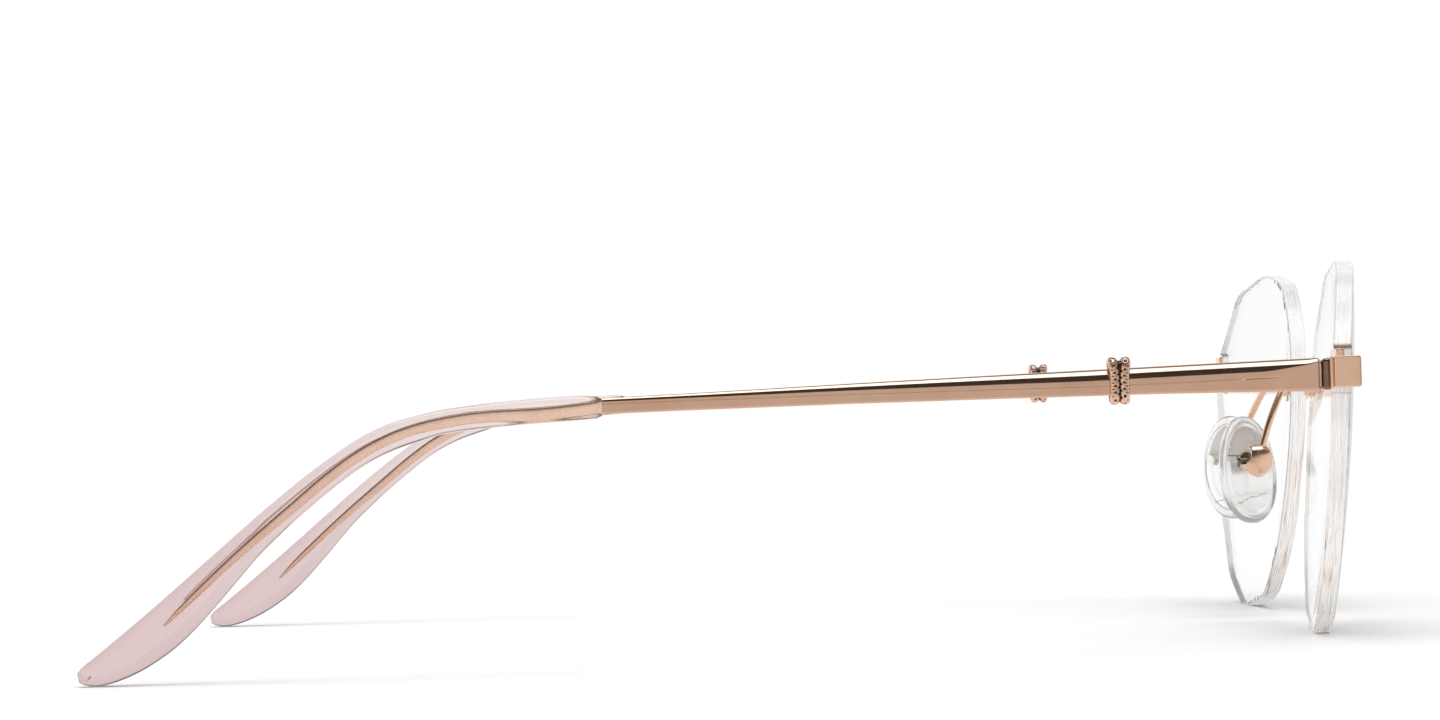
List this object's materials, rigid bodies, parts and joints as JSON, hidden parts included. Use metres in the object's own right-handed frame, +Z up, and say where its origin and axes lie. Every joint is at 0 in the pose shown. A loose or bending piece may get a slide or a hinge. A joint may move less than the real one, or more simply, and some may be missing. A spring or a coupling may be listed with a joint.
{
  "type": "rimless eyeglasses",
  "caption": "Rimless eyeglasses: two unframed lenses, metal bridge and endpieces, folding metal temples with clear pink tips, beaded bands and rocking nose pads.",
  "frame": {"origin": "bottom centre of the whole part, on the surface that the lenses and the temple tips stand on, with the temples open", "axes": "+X the wearer's forward, +Y the wearer's left, +Z up"},
  "size_m": [0.1424, 0.1336, 0.0412],
  "materials": {
    "lens": "clear polished lens with a ground edge",
    "rose_metal": "polished rose gold plating",
    "dark_rose_metal": "rose gold plating, darker in the recesses",
    "pink_plastic": "clear pale pink polished plastic",
    "silicone": "clear glossy silicone",
    "clear_plastic": "clear nylon"
  },
  "bodies": {
    "front": {"bridge": "rose_metal", "left_lens": "lens", "right_lens": "lens", "left_endpiece": "rose_metal", "right_endpiece": "rose_metal", "left_outer_bushing": "clear_plastic", "right_outer_bushing": "clear_plastic", "left_outer_screw": "rose_metal", "right_outer_screw": "rose_metal", "left_outer_nut": "rose_metal", "right_outer_nut": "rose_metal", "left_inner_bushing": "clear_plastic", "right_inner_bushing": "clear_plastic", "left_inner_screw": "rose_metal", "right_inner_screw": "rose_metal", "left_inner_nut": "rose_metal", "right_inner_nut": "rose_metal", "left_pad_arm": "rose_metal", "right_pad_arm": "rose_metal", "left_pad_box": "rose_metal", "right_pad_box": "rose_metal", "left_pad_screw": "dark_rose_metal", "right_pad_screw": "dark_rose_metal"},
    "left_temple_arm": {"left_temple": "rose_metal", "left_temple_ring": "dark_rose_metal", "left_temple_tip": "pink_plastic", "left_hinge_screw": "dark_rose_metal"},
    "left_pad": {"left_nose_pad": "silicone", "left_pad_tab": "dark_rose_metal"},
    "right_temple_arm": {"right_temple": "rose_metal", "right_temple_ring": "dark_rose_metal", "right_temple_tip": "pink_plastic", "right_hinge_screw": "dark_rose_metal"},
    "right_pad": {"right_nose_pad": "silicone", "right_pad_tab": "dark_rose_metal"}
  },
  "joints": [
    {"name": "left_temple_fold", "type": "hinge", "parent": "front", "child": "left_temple_arm", "pos_m": [0.05992, 0.0632, 0.028], "axis": [0, 0, 1], "range_deg": [0, 84]},
    {"name": "right_temple_fold", "type": "hinge", "parent": "front", "child": "right_temple_arm", "pos_m": [0.05992, -0.0632, 0.028], "axis": [0, 0, -1], "range_deg": [0, 90]},
    {"name": "left_pad_rock", "type": "hinge", "parent": "front", "child": "left_pad", "pos_m": [0.05919, 0.0116, 0.01886], "axis": [1, 0, 0], "range_deg": [-8, 8]},
    {"name": "right_pad_rock", "type": "hinge", "parent": "front", "child": "right_pad", "pos_m": [0.05919, -0.0116, 0.01886], "axis": [-1, 0, 0], "range_deg": [-8, 8]}
  ]
}
